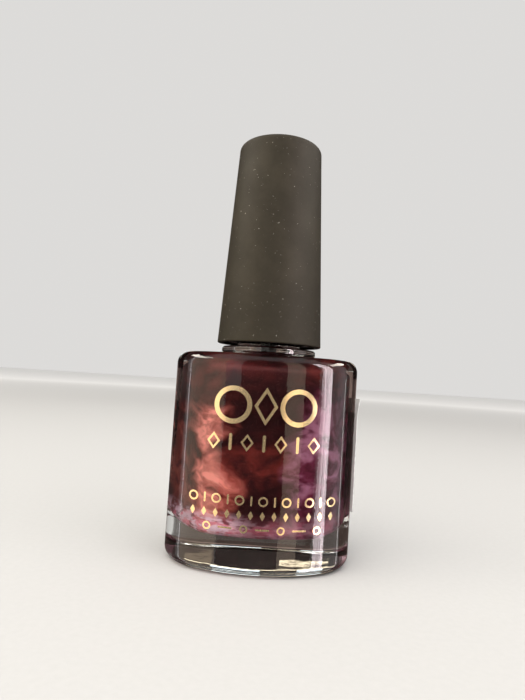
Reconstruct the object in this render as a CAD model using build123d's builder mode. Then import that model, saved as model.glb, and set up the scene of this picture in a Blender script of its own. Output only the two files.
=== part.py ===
from build123d import *
import math
import os

os.makedirs("parts", exist_ok=True)

# Nail polish bottle, 15 mL.  Millimetres, +Z up, the front face towards -Y.
# The origin is on the table, on the axis of the neck.

# Glass bottle
half_width = 18.6
half_depth = 13.0
end_radius = 11.5
shoulder_z = 40.9
shoulder_radius = 2.3
heel_radius = 2.1
recess_inset = 3.9
recess_depth = 0.8

# Space inside the glass
inner_half_width = 13.4
inner_half_depth = 10.4
inner_side_radius = 26.0
inner_end_radius = 14.0
inner_upright_radius = 4.6
inner_floor_z = 6.6
inner_ceiling_z = 39.0
inner_corner_radius = 1.6
bore_radius = 4.0

# Neck and its single-start right-hand thread
collar_radius = 9.7
collar_top_z = 42.5
neck_radius = 6.55
mouth_z = 53.0
thread_pitch = 2.117
thread_turns = 1.5
thread_height = 0.65
neck_thread_z = 47.3

# Cap
cap_bottom_z = 43.2
cap_top_z = 85.0
cap_bottom_radius = 10.75
cap_top_radius = 8.6
cap_wall = 1.2
cap_edge_radius = 1.15
rib_count = 12
rib_width = 1.0
inner_cap_radius = 8.6
inner_cap_bottom_z = 43.6
inner_cap_top_z = 56.4
cap_thread_root_radius = 7.45
groove_depth = 0.35
rib_clearance = 0.05
rib_root = 9.75
seat_inner = 7.3
seat_root = 9.4

# Applicator
stem_radius = 1.6
stem_bottom_z = 25.0
washer_thickness = 0.8
washer_radius = 6.2
tuft_root_radius = 1.2
tuft_radius = 1.85
tuft_tip_z = 8.6

# Contents
fill_z = 41.4
fill_clearance = 0.05
well_clearance = 0.3
ball_radius = 1.75

# Print and labels
film_gap = 0.03
film_thickness = 0.08
paper_gap = 0.03
paper_thickness = 0.15


def oval(half_x, half_y, end_r):
    """Closed outline of four arcs that meet tangentially, longer along X."""
    end_centre = half_x - end_r
    side_r = (end_centre**2 + half_y**2 - end_r**2) / (2 * (half_y - end_r))
    meet_x = end_centre + end_r * end_centre / (side_r - end_r)
    meet_y = end_r * (side_r - half_y) / (side_r - end_r)
    with BuildSketch() as outline:
        with BuildLine():
            ThreePointArc((-meet_x, -meet_y), (0, -half_y), (meet_x, -meet_y))
            ThreePointArc((meet_x, -meet_y), (half_x, 0), (meet_x, meet_y))
            ThreePointArc((meet_x, meet_y), (0, half_y), (-meet_x, meet_y))
            ThreePointArc((-meet_x, meet_y), (-half_x, 0), (-meet_x, -meet_y))
        make_face()
    return outline.sketch


def grown_oval(distance):
    """The bottle's own outline, moved outwards by a distance."""
    return oval(half_width + distance, half_depth + distance, end_radius + distance)


def soft_rectangle(half_x, half_y, side_r, end_r, corner_r):
    """Closed outline of eight arcs that meet tangentially: two long sides, two ends and
    four corners.  Each corner's centre lies where two circles cross, one about the
    side's centre and one about the end's, both smaller than theirs by the corner."""
    side_centre = Vector(0, half_y - side_r)
    end_centre = Vector(half_x - end_r, 0)
    reach = side_r - corner_r
    between = end_centre - side_centre
    gap = between.length
    along = (reach**2 - (end_r - corner_r) ** 2 + gap**2) / (2 * gap)
    aside = math.sqrt(reach**2 - along**2)
    away = between / gap
    corner = side_centre + away * along + Vector(away.Y, -away.X) * aside
    to_side = (corner - side_centre).normalized()
    to_end = (corner - end_centre).normalized()
    on_side = side_centre + to_side * side_r
    on_end = end_centre + to_end * end_r
    midway = corner + (to_side + to_end).normalized() * corner_r
    with BuildSketch() as outline:
        with BuildLine():
            for sx, sy in ((1, 1), (-1, 1), (-1, -1), (1, -1)):
                ThreePointArc(
                    (sx * on_end.X, sy * on_end.Y),
                    (sx * midway.X, sy * midway.Y),
                    (sx * on_side.X, sy * on_side.Y),
                )
            ThreePointArc((on_side.X, on_side.Y), (0, half_y), (-on_side.X, on_side.Y))
            ThreePointArc((-on_end.X, on_end.Y), (-half_x, 0), (-on_end.X, -on_end.Y))
            ThreePointArc((-on_side.X, -on_side.Y), (0, -half_y), (on_side.X, -on_side.Y))
            ThreePointArc((on_end.X, -on_end.Y), (half_x, 0), (on_end.X, on_end.Y))
        make_face()
    return outline.sketch


def inner_space(inset):
    """The space inside the glass below the neck, made smaller all round by inset."""
    outline = soft_rectangle(
        inner_half_width - inset,
        inner_half_depth - inset,
        inner_side_radius - inset,
        inner_end_radius - inset,
        inner_upright_radius - inset,
    )
    with BuildPart() as space:
        with BuildSketch(Plane.XY.offset(inner_floor_z + inset)):
            add(outline)
        extrude(amount=inner_ceiling_z - inner_floor_z - 2 * inset)
        fillet(space.faces().sort_by(Axis.Z)[0].edges(), inner_corner_radius - inset)
        fillet(space.faces().sort_by(Axis.Z)[-1].edges(), inner_corner_radius - inset)
    return space.part


def thread_ridge(radius, start_z, outwards, root_width, crest_width):
    """Ridge of a screw thread, climbing anticlockwise seen from above.

    It stands out from the wall at the radius by the thread height, outwards or inwards,
    and its root is sunk slightly into that wall.
    """
    sunk = -0.15 * outwards
    crest = thread_height * outwards
    with BuildPart() as ridge:
        with BuildLine() as path:
            Helix(
                pitch=thread_pitch,
                height=thread_pitch * thread_turns,
                radius=radius,
                center=(0, 0, start_z),
            )
        across = Plane(origin=path.line @ 0, x_dir=(1, 0, 0), z_dir=path.line % 0)
        with BuildSketch(across):
            with BuildLine():
                Polyline(
                    (sunk, -root_width / 2 - 0.07),
                    (crest, -crest_width / 2),
                    (crest, crest_width / 2),
                    (sunk, root_width / 2 + 0.07),
                    close=True,
                )
            make_face()
        sweep(is_frenet=True)
    return ridge.part


# ---------------------------------------------------------------- glass bottle
footprint = grown_oval(0)
base_recess = grown_oval(-recess_inset)
hollow = inner_space(0)
neck_ridge = thread_ridge(neck_radius, neck_thread_z, 1, 1.3, 0.7)

with BuildPart() as glass_bottle:
    with BuildSketch(Plane.XY):
        add(footprint)
    extrude(amount=shoulder_z)
    fillet(glass_bottle.faces().sort_by(Axis.Z)[-1].edges(), shoulder_radius)
    fillet(glass_bottle.faces().sort_by(Axis.Z)[0].edges(), heel_radius)
    with BuildSketch(Plane.XY):
        add(base_recess)
    extrude(amount=recess_depth, mode=Mode.SUBTRACT)
    # collar and neck, turned about the axis
    with BuildSketch(Plane.XZ):
        with BuildLine():
            Polyline(
                (0, shoulder_z - 1.0),
                (10.6, shoulder_z - 1.0),
                (10.6, shoulder_z),
                (collar_radius + 0.1, shoulder_z + 0.35),
                (collar_radius, shoulder_z + 0.4),
                (collar_radius, collar_top_z - 0.45),
            )
            RadiusArc(
                (collar_radius, collar_top_z - 0.45),
                (collar_radius - 0.45, collar_top_z),
                -0.45,
            )
            Polyline(
                (collar_radius - 0.45, collar_top_z),
                (neck_radius + 0.5, collar_top_z),
            )
            RadiusArc(
                (neck_radius + 0.5, collar_top_z),
                (neck_radius, collar_top_z + 0.5),
                0.5,
            )
            Polyline(
                (neck_radius, collar_top_z + 0.5),
                (neck_radius, mouth_z - 0.4),
            )
            RadiusArc(
                (neck_radius, mouth_z - 0.4),
                (neck_radius - 0.4, mouth_z),
                -0.4,
            )
            Polyline((neck_radius - 0.4, mouth_z), (0, mouth_z), (0, shoulder_z - 1.0))
        make_face()
    revolve(axis=Axis.Z)
    add(neck_ridge)
    add(hollow, mode=Mode.SUBTRACT)
    with Locations((0, 0, inner_ceiling_z - 1.0)):
        Cylinder(
            bore_radius,
            mouth_z - inner_ceiling_z + 2.0,
            align=(Align.CENTER, Align.CENTER, Align.MIN),
            mode=Mode.SUBTRACT,
        )
    mouth_edge = glass_bottle.edges().filter_by(GeomType.CIRCLE).group_by(Axis.Z)[-1]
    fillet(mouth_edge.sort_by(SortBy.RADIUS)[0], 0.3)
glass_bottle.part.label = "glass_bottle"

# ------------------------------------------------------------- brush and its stem
washer_top_z = mouth_z + washer_thickness
flange_top_z = washer_top_z + 0.8
plate_bottom_z = flange_top_z + 0.05
plate_top_z = inner_cap_top_z
bead_z = mouth_z - 0.45

with BuildPart() as brush_stem:
    with BuildSketch(Plane.XZ):
        with BuildLine():
            Polyline(
                (0, stem_bottom_z + 5.0),
                (0, plate_top_z + 1.2),
                (2.3, plate_top_z + 1.2),
                (2.9, plate_top_z + 0.55),
                (2.9, plate_top_z + 0.05),
                (2.0, plate_top_z + 0.05),
                (2.0, flange_top_z),
                (6.2, flange_top_z),
                (6.2, washer_top_z),
                (stem_radius, washer_top_z),
                (stem_radius, bead_z + 0.35),
                (stem_radius + 0.35, bead_z + 0.2),
                (stem_radius + 0.35, bead_z - 0.2),
                (stem_radius, bead_z - 0.45),
                (stem_radius, stem_bottom_z + 0.3),
                (stem_radius - 0.15, stem_bottom_z),
                (tuft_root_radius + 0.05, stem_bottom_z),
                (tuft_root_radius + 0.05, stem_bottom_z + 5.0),
                close=True,
            )
        make_face()
    revolve(axis=Axis.Z)
brush_stem.part.label = "brush_stem"

staple_z = stem_bottom_z + 3.6
with BuildPart() as bristle_staple:
    with Locations((0, 0, staple_z)):
        Box(2.2, 0.3, 1.0)
    fillet(bristle_staple.edges().filter_by(Axis.Y), 0.25)
bristle_staple.part.label = "bristle_staple"

with BuildPart() as bristle_tuft:
    with BuildSketch(Plane.XZ):
        with BuildLine():
            Polyline(
                (0, tuft_tip_z),
                (0, stem_bottom_z + 4.6),
                (tuft_root_radius, stem_bottom_z + 4.6),
                (tuft_root_radius, stem_bottom_z - 0.1),
            )
            Spline(
                (tuft_root_radius, stem_bottom_z - 0.1),
                (tuft_radius - 0.1, stem_bottom_z - 4.5),
                (tuft_radius, tuft_tip_z + 4.5),
                (tuft_radius - 0.35, tuft_tip_z + 1.3),
                (0, tuft_tip_z),
                tangents=[(0.2, -1), (-1, 0)],
            )
        make_face()
    revolve(axis=Axis.Z)
    with Locations((0, 0, staple_z)):
        Box(2.3, 0.4, 1.1, mode=Mode.SUBTRACT)
bristle_tuft.part.label = "bristle_tuft"

with BuildPart() as sealing_washer:
    with BuildSketch(Plane.XY.offset(mouth_z)):
        Circle(washer_radius)
        Circle(stem_radius + 0.1, mode=Mode.SUBTRACT)
    extrude(amount=washer_thickness)
sealing_washer.part.label = "sealing_washer"

# --------------------------------------------------------------------- inner cap
# The cap's ridge lies under the neck's ridge, with 0.05 mm left between their flanks.
cap_ridge = thread_ridge(
    cap_thread_root_radius,
    neck_thread_z - 0.885,
    -1,
    1.15,
    0.6,
)

with BuildPart() as inner_cap:
    with BuildSketch(Plane.XY.offset(inner_cap_bottom_z)):
        Circle(inner_cap_radius)
    extrude(amount=inner_cap_top_z - inner_cap_bottom_z)
    chamfer(inner_cap.edges().sort_by(Axis.Z)[-1], 0.5)
    with BuildSketch(Plane.XY.offset(inner_cap_bottom_z)):
        Circle(cap_thread_root_radius)
    extrude(amount=plate_bottom_z - inner_cap_bottom_z, mode=Mode.SUBTRACT)
    with BuildSketch(Plane.XY.offset(inner_cap_top_z)):
        Circle(2.05)
    extrude(amount=-4.0, mode=Mode.SUBTRACT)
    with BuildSketch(Plane.XY.offset(inner_cap_bottom_z)):
        with PolarLocations(inner_cap_radius, rib_count):
            Rectangle(2 * groove_depth, rib_width + 0.1)
    extrude(amount=inner_cap_top_z - inner_cap_bottom_z, mode=Mode.SUBTRACT)
    add(cap_ridge)
inner_cap.part.label = "inner_cap"

# --------------------------------------------------------------------- outer cap
taper = (cap_bottom_radius - cap_top_radius) / (cap_top_z - cap_bottom_z)
ceiling_z = cap_top_z - 1.6


def cap_radius_at(z):
    """Outer radius of the tapered cap at a height."""
    return cap_bottom_radius - taper * (z - cap_bottom_z)


with BuildPart() as outer_cap:
    with BuildSketch(Plane.XZ):
        with BuildLine():
            Polyline(
                (0, cap_bottom_z),
                (cap_bottom_radius, cap_bottom_z),
                (cap_top_radius, cap_top_z),
                (0, cap_top_z),
                close=True,
            )
        make_face()
    revolve(axis=Axis.Z)
    fillet(outer_cap.faces().sort_by(Axis.Z)[-1].edges(), cap_edge_radius)
    fillet(outer_cap.faces().sort_by(Axis.Z)[0].edges(), 0.25)
    with BuildSketch(Plane.XZ):
        with BuildLine():
            Polyline(
                (0, cap_bottom_z - 1.0),
                (cap_bottom_radius - cap_wall, cap_bottom_z - 1.0),
                (cap_radius_at(cap_bottom_z) - cap_wall, cap_bottom_z),
                (cap_radius_at(ceiling_z) - cap_wall, ceiling_z),
                (0, ceiling_z),
                close=True,
            )
        make_face()
    revolve(axis=Axis.Z, mode=Mode.SUBTRACT)
    # ribs that key into the inner cap's grooves, and stand on its top above them
    rib_inner = inner_cap_radius - groove_depth + rib_clearance
    with BuildSketch(Plane.XY.offset(inner_cap_bottom_z + 0.4)):
        with PolarLocations((rib_inner + rib_root) / 2, rib_count):
            Rectangle(rib_root - rib_inner, rib_width)
    extrude(amount=inner_cap_top_z - inner_cap_bottom_z - 0.35)
    with BuildSketch(Plane.XY.offset(inner_cap_top_z + 0.05)):
        with PolarLocations((seat_inner + seat_root) / 2, rib_count):
            Rectangle(seat_root - seat_inner, rib_width)
    extrude(amount=2.6)
outer_cap.part.label = "outer_cap"

# ---------------------------------------------------------------- mixing balls
ball_seats = [(6.4, 2.6), (-5.2, -3.6)]
ball_z = inner_floor_z + ball_radius + 0.02

with BuildPart() as mixing_ball_1:
    with Locations((*ball_seats[0], ball_z)):
        Sphere(ball_radius)
mixing_ball_1.part.label = "mixing_ball_1"

with BuildPart() as mixing_ball_2:
    with Locations((*ball_seats[1], ball_z)):
        Sphere(ball_radius)
mixing_ball_2.part.label = "mixing_ball_2"

# ---------------------------------------------------------------- lacquer
# It fills the glass to the root of the neck, and leaves a well for the brush.
contents = inner_space(fill_clearance)

with BuildPart() as lacquer_fill:
    add(contents)
    with Locations((0, 0, inner_ceiling_z - 2.0)):
        Cylinder(
            bore_radius - fill_clearance,
            fill_z - inner_ceiling_z + 2.0,
            align=(Align.CENTER, Align.CENTER, Align.MIN),
        )
    with Locations((0, 0, tuft_tip_z - 0.6)):
        Cylinder(
            tuft_radius + well_clearance,
            fill_z,
            align=(Align.CENTER, Align.CENTER, Align.MIN),
            mode=Mode.SUBTRACT,
        )
    with Locations((*ball_seats[0], ball_z), (*ball_seats[1], ball_z)):
        Sphere(ball_radius + 0.05, mode=Mode.SUBTRACT)
lacquer_fill.part.label = "lacquer_fill"

# ------------------------------------------------------------ front foil ornament
film_outer = grown_oval(film_gap + film_thickness)
film_inner = grown_oval(film_gap)
ring_row_z = 31.2
mark_row_z = 24.4
upper_row_z = 13.95
middle_row_z = 11.35
lower_row_z = 8.85


def diamond(width, height, mode=Mode.ADD):
    """Upright diamond in the current sketch."""
    left = (-width / 2, 0)
    bottom = (0, -height / 2)
    right = (width / 2, 0)
    top = (0, height / 2)
    Polygon(left, bottom, right, top, mode=mode)


with BuildPart() as front_print:
    with BuildSketch(Plane.XZ):
        # large row: two rings with an open diamond between them
        with Locations((-6.3, ring_row_z), (5.9, ring_row_z)):
            Circle(3.5)
        with Locations((-6.3, ring_row_z), (5.9, ring_row_z)):
            Circle(2.6, mode=Mode.SUBTRACT)
        with Locations((-0.2, ring_row_z)):
            diamond(4.4, 7.0)
        with Locations((-0.2, ring_row_z)):
            diamond(3.1, 5.0, mode=Mode.SUBTRACT)
        # row of open diamonds with upright bars between them
        with Locations((-0.2, mark_row_z)):
            with GridLocations(6.2, 1, 4, 1):
                diamond(2.4, 3.2)
            with GridLocations(6.2, 1, 4, 1):
                diamond(1.5, 2.0, mode=Mode.SUBTRACT)
            with GridLocations(6.2, 1, 3, 1):
                SlotOverall(3.1, 0.55, rotation=90)
        # row of small rings with upright bars between them
        with Locations((0.3, upper_row_z)):
            with GridLocations(4.3, 1, 7, 1):
                Circle(0.9)
            with GridLocations(4.3, 1, 7, 1):
                Circle(0.58, mode=Mode.SUBTRACT)
            with GridLocations(4.3, 1, 6, 1):
                SlotOverall(1.8, 0.34, rotation=90)
        # row of filled diamonds
        with Locations((0.3, middle_row_z)):
            with GridLocations(2.15, 1, 13, 1):
                diamond(0.95, 1.7)
        # lowest row: dashes and small rings
        with Locations((0.4, lower_row_z)):
            with GridLocations(6.8, 1, 4, 1):
                Circle(0.75)
            with GridLocations(6.8, 1, 4, 1):
                Circle(0.45, mode=Mode.SUBTRACT)
            with GridLocations(6.8, 1, 3, 1):
                SlotOverall(2.6, 0.32)
    extrude(amount=half_depth + 1.0)
    with BuildSketch(Plane.XY):
        add(film_outer)
        add(film_inner, mode=Mode.SUBTRACT)
    extrude(amount=shoulder_z, mode=Mode.INTERSECT)
front_print.part.label = "front_print"

# ------------------------------------------------------------------- paper labels
label_bottom_z = 10.0
label_top_z = 33.3
label_left_x = -13.0
tail_angle = 15.0
tail_length = 3.6
curl_across = 2.8
curl_down = 5.2
curl_degrees = 13.0
paper_outer = grown_oval(paper_gap + paper_thickness)
paper_inner = grown_oval(paper_gap)
end_centre_x = half_width - end_radius

# where the paper leaves the glass at the right end, and the way it runs on from there
tail_in_x = math.cos(math.radians(tail_angle))
tail_in_y = math.sin(math.radians(tail_angle))
tail_start = Vector(
    end_centre_x + (end_radius + paper_gap) * tail_in_x,
    (end_radius + paper_gap) * tail_in_y,
    label_bottom_z,
)
tail_plane = Plane(
    origin=tail_start,
    x_dir=(tail_in_y, -tail_in_x, 0),
    z_dir=(-tail_in_x, -tail_in_y, 0),
)
label_height = label_top_z - label_bottom_z

# the loosened corner turns outwards about a slanting fold
fold_low = Vector(tail_length, label_height - curl_down)
fold_high = Vector(tail_length - curl_across, label_height)
fold_origin = tail_plane.from_local_coords(fold_low)
fold_end = tail_plane.from_local_coords(fold_high)
fold_dir = (fold_end - fold_origin).normalized()
curl_normal = tail_plane.z_dir.rotate(Axis((0, 0, 0), fold_dir), curl_degrees)
curl_plane = Plane(origin=fold_origin, x_dir=fold_dir, z_dir=curl_normal)
fold_length = (fold_end - fold_origin).length
corner_along = curl_down**2 / fold_length
corner_out = curl_across * curl_down / fold_length

with BuildPart() as back_label:
    with BuildSketch(Plane.XY.offset(label_bottom_z)):
        add(paper_outer)
        add(paper_inner, mode=Mode.SUBTRACT)
        Polygon(
            (label_left_x, 0),
            (end_centre_x, 0),
            (end_centre_x + 20 * tail_in_x, 20 * tail_in_y),
            (end_centre_x + 20 * tail_in_x, 20),
            (label_left_x, 20),
            align=None,
            mode=Mode.INTERSECT,
        )
    extrude(amount=label_height)
    with BuildSketch(tail_plane):
        Polygon(
            (-0.02, 0),
            (tail_length, 0),
            (fold_low.X, fold_low.Y),
            (fold_high.X, fold_high.Y),
            (-0.02, label_height),
            align=None,
        )
    extrude(amount=-paper_thickness)
    with BuildSketch(curl_plane):
        Polygon((0, 0), (corner_along, -corner_out), (fold_length, 0), align=None)
    extrude(amount=-paper_thickness)
back_label.part.label = "back_label"

with BuildPart() as base_label:
    with BuildSketch(Plane.XY.offset(recess_depth - 0.03)):
        Circle(7.5)
    extrude(amount=-0.12)
base_label.part.label = "base_label"

# ---------------------------------------------------------------- one file each
export_step(glass_bottle.part, "parts/glass_bottle.step")
export_step(lacquer_fill.part, "parts/lacquer_fill.step")
export_step(mixing_ball_1.part, "parts/mixing_ball_1.step")
export_step(mixing_ball_2.part, "parts/mixing_ball_2.step")
export_step(front_print.part, "parts/front_print.step")
export_step(back_label.part, "parts/back_label.step")
export_step(base_label.part, "parts/base_label.step")
export_step(sealing_washer.part, "parts/sealing_washer.step")
export_step(outer_cap.part, "parts/outer_cap.step")
export_step(inner_cap.part, "parts/inner_cap.step")
export_step(brush_stem.part, "parts/brush_stem.step")
export_step(bristle_staple.part, "parts/bristle_staple.step")
export_step(bristle_tuft.part, "parts/bristle_tuft.step")
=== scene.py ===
import math
import bpy
import mathutils
import numpy as np
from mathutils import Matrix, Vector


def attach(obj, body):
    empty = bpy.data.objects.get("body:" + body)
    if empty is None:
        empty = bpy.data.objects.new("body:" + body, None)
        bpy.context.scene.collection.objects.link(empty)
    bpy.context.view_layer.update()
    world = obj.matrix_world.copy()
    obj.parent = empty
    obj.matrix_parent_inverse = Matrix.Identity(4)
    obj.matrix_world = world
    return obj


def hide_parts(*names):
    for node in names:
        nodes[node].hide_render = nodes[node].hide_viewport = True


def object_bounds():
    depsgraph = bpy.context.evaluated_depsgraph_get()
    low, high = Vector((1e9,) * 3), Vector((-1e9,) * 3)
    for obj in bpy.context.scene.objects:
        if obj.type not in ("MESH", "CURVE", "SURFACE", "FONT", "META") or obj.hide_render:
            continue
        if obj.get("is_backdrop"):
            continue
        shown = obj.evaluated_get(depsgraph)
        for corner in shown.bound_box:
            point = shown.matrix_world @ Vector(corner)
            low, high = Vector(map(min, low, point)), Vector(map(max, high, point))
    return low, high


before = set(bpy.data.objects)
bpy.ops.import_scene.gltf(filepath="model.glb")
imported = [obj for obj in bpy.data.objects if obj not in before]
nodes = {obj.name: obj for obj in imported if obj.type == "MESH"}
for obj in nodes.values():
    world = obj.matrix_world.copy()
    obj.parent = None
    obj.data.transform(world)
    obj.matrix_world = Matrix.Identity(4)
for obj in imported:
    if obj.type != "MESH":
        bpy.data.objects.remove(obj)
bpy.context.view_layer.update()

# ---------------------------------------------------------------------------
# Glass bottle.  Clear soda-lime glass, blown in a two-part mould: a thick foot
# with a pushed-up base, heavy ends, a flat shoulder, a collar and a threaded
# neck.  One skin runs over the outside, through the mouth and round the inside.
MM = 0.001
AROUND = 288
half_width, half_depth, end_radius = 18.6, 13.0, 11.5
heel_round, shoulder_round, shoulder_top = 2.1, 2.3, 40.9
recess_inset, recess_depth, recess_round, recess_lip = 3.9, 0.8, 0.3, 0.25
hollow_half_width, hollow_half_depth = 13.4, 10.4
hollow_side_radius, hollow_end_radius, hollow_upright_radius = 26.0, 14.0, 4.6
hollow_floor, hollow_ceiling, hollow_round = 6.6, 39.0, 1.6
collar_radius, collar_top, collar_round = 9.7, 42.5, 0.45
neck_radius, bore_radius, mouth_top, mouth_round, lip_round = 6.55, 4.0, 53.0, 0.4, 0.3
thread_start, thread_pitch, thread_turns, thread_height = 47.3, 2.117, 1.5, 0.65
turn = np.linspace(0.0, 2 * np.pi, AROUND, endpoint=False)


def oval_ring(angle, half_x, half_y, end_r, grow=0.0):
    """X and Y of a four-arc oval where its outward normal has this angle: the centre
    of the arc that holds the normal, plus the arc's radius along the normal."""
    end_x = half_x - end_r
    side_r = (end_x**2 + half_y**2 - end_r**2) / (2 * (half_y - end_r))
    nx, ny = np.cos(angle), np.sin(angle)
    on_end = np.abs(ny) * end_x <= np.abs(nx) * (side_r - half_y)
    radius = np.where(on_end, end_r, side_r) + grow
    x = np.where(on_end, end_x * np.sign(nx), 0.0) + radius * nx
    y = np.where(on_end, 0.0, -(side_r - half_y) * np.sign(ny)) + radius * ny
    return x, y


def arc_steps(start_deg, end_deg, count):
    """Angles of a rounded edge in radians, from start to end."""
    return np.radians(np.linspace(start_deg, end_deg, count))


def skin_mesh(name, rows):
    """Closed mesh from a grid of points, rows by places round.  Faces point to the side
    where the rows run up while the places run anticlockwise.  The first and the last
    row are shrunk to one point each, and get a fan of triangles."""
    rows = np.asarray(rows, float)
    levels, places = rows.shape[:2]
    body = rows[1:-1].reshape(-1, 3)
    here = np.arange(len(body)).reshape(levels - 2, places)
    beside = np.roll(here, -1, 1)
    faces = np.stack([here[:-1], beside[:-1], beside[1:], here[1:]], -1).reshape(-1, 4).tolist()
    first_pole, last_pole = len(body), len(body) + 1
    faces += np.stack([here[0] * 0 + first_pole, beside[0], here[0]], -1).tolist()
    faces += np.stack([here[-1], beside[-1], here[-1] * 0 + last_pole], -1).tolist()
    points = np.vstack([body, rows[0, :1], rows[-1, :1]])
    mesh = bpy.data.meshes.new(name)
    mesh.from_pydata((points * MM).tolist(), [], faces)
    mesh.update()
    mesh.shade_smooth()
    return mesh


def add_piece(name, mesh, body, slot, finish, *replaced):
    """Puts a finished mesh in the scene, riding on a body, in place of CAD nodes."""
    piece = bpy.data.objects.new(name, mesh)
    bpy.context.scene.collection.objects.link(piece)
    piece.data.materials.append(finish)
    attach(piece, body)
    if replaced:
        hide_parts(*replaced)
    return piece


class Line:
    """One socket of a material's nodes.  Sums, differences, products and quotients of
    lines and numbers add the Math nodes that work them out."""

    def __init__(self, tree, socket):
        self.tree = tree
        self.socket = socket

    def make(self, kind, settings=None, feeds=None, out=0):
        """Adds any node: its settings first, then the values or lines of its sockets."""
        node = self.tree.nodes.new(kind)
        for key, value in (settings or {}).items():
            setattr(node, key, value)
        for key, value in (feeds or {}).items():
            if isinstance(value, Line):
                self.tree.links.new(value.socket, node.inputs[key])
            else:
                node.inputs[key].default_value = value
        return Line(self.tree, node.outputs[out])

    def maths(self, operation, *terms, clamp=False):
        """One Math node; clamp holds its result between 0 and 1."""
        feeds = dict(enumerate(terms))
        return self.make("ShaderNodeMath", {"operation": operation, "use_clamp": clamp}, feeds)

    def __add__(self, other):
        return self.maths("ADD", self, other)

    __radd__ = __add__

    def __sub__(self, other):
        return self.maths("SUBTRACT", self, other)

    def __rsub__(self, other):
        return self.maths("SUBTRACT", other, self)

    def __mul__(self, other):
        return self.maths("MULTIPLY", self, other)

    __rmul__ = __mul__

    def __truediv__(self, other):
        return self.maths("DIVIDE", self, other)

    def __rtruediv__(self, other):
        return self.maths("DIVIDE", other, self)

    def __abs__(self):
        return self.maths("ABSOLUTE", self)

    def clip(self):
        """Holds the line between 0 and 1."""
        return self.maths("ADD", self, 0.0, clamp=True)

    def step(self, low, high):
        """Rises smoothly from 0 to 1 as the line goes from low to high."""
        settings = {"interpolation_type": "SMOOTHSTEP"}
        feeds = {"Value": self, "From Min": low, "From Max": high}
        return self.make("ShaderNodeMapRange", settings, feeds)

    def noise(self, scale, detail=3.0, rough=0.5, warp=0.0, out=0):
        """Noise over this vector; the scale is in cycles per metre."""
        feeds = {"Vector": self, "Scale": scale, "Detail": detail}
        feeds.update({"Roughness": rough, "Distortion": warp})
        return self.make("ShaderNodeTexNoise", {"noise_dimensions": "3D"}, feeds, out)

    def axes(self):
        """The three parts of this vector as lines."""
        node = self.make("ShaderNodeSeparateXYZ", None, {0: self}).socket.node
        return [Line(self.tree, socket) for socket in node.outputs]

    def blend(self, first, second):
        """Mixes two colours by this line: 0 gives the first, 1 the second."""
        settings = {"data_type": "RGBA", "clamp_factor": True}
        return self.make("ShaderNodeMix", settings, {0: self, 6: first, 7: second}, 2)

    def shift(self, move=(0, 0, 0), turn_by=(0, 0, 0), size=(1, 1, 1)):
        """This vector through a Mapping node."""
        return self.make("ShaderNodeMapping", None, {0: self, 1: move, 2: turn_by, 3: size})

    def bump(self, strength, depth):
        """Normal of a surface with this height, depth in metres."""
        feeds = {"Height": self, "Strength": strength, "Distance": depth}
        return self.make("ShaderNodeBump", None, feeds)


def rgb(red, green, blue):
    """Display colour, 0 to 255, as linear RGBA."""
    part = np.array([red, green, blue]) / 255.0
    part = np.where(part <= 0.04045, part / 12.92, ((part + 0.055) / 1.055) ** 2.4)
    return (*part.tolist(), 1.0)


def new_finish(name):
    """A material with an empty Principled shader; returns it, the shader and the
    line of Object coordinates."""
    finish = bpy.data.materials.new(name)
    finish.use_nodes = True
    shader = finish.node_tree.nodes["Principled BSDF"]
    start = Line(finish.node_tree, None)
    place = start.make("ShaderNodeTexCoord", None, None, "Object")
    return finish, shader, place


def connect(shader, **feeds):
    """Sets or links the shader's sockets; underscores in the names stand for spaces."""
    for key, value in feeds.items():
        socket = shader.inputs[key.replace("_", " ")]
        if isinstance(value, Line):
            value.tree.links.new(value.socket, socket)
        else:
            socket.default_value = value


def outside_glass(angle, inset):
    """The bottle's own outline, moved inwards by inset."""
    return oval_ring(angle, half_width, half_depth, end_radius, -inset)


def inside_glass(angle, inset):
    """X and Y of the space in the glass, an eight-arc soft rectangle, where its outward
    normal has this angle: the centre of the arc that holds the normal, plus the arc's
    radius along it.  A corner's centre lies where two circles cross, about the side's
    and the end's centres, both smaller than theirs by the corner."""
    side_r, end_r, corner_r = hollow_side_radius, hollow_end_radius, hollow_upright_radius
    side_y, end_x = hollow_half_depth - side_r, hollow_half_width - end_r
    gap = math.hypot(end_x, side_y)
    along = ((side_r - corner_r) ** 2 - (end_r - corner_r) ** 2 + gap**2) / (2 * gap)
    aside = math.sqrt((side_r - corner_r) ** 2 - along**2)
    corner_x = (end_x * along - side_y * aside) / gap
    corner_y = side_y + (-side_y * along - end_x * aside) / gap
    nx, ny = np.cos(angle), np.sin(angle)
    on_side = np.abs(nx) * (corner_y - side_y) <= np.abs(ny) * corner_x
    on_end = np.abs(ny) * (corner_x - end_x) <= np.abs(nx) * corner_y
    radius = np.where(on_side, side_r, np.where(on_end, end_r, corner_r)) - inset
    x = np.where(on_side, 0.0, np.where(on_end, end_x, corner_x)) * np.sign(nx) + radius * nx
    y = np.where(on_side, side_y, np.where(on_end, 0.0, corner_y)) * np.sign(ny) + radius * ny
    return x, y


def level(ring, z, scale=1.0):
    """One row of points: a ring's X and Y, shrunk to its centre by scale, at height z."""
    return np.stack([ring[0] * scale, ring[1] * scale, np.broadcast_to(z, ring[0].shape)], -1)


def round_level(radius, z):
    """A row of points on a circle."""
    return level((radius * np.cos(turn), radius * np.sin(turn)), z)


def mixed_level(part, ring, radius, z):
    """A row part of the way from an oval ring to a circle."""
    x = (1 - part) * ring[0] + part * radius * np.cos(turn)
    y = (1 - part) * ring[1] + part * radius * np.sin(turn)
    return level((x, y), z)


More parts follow.
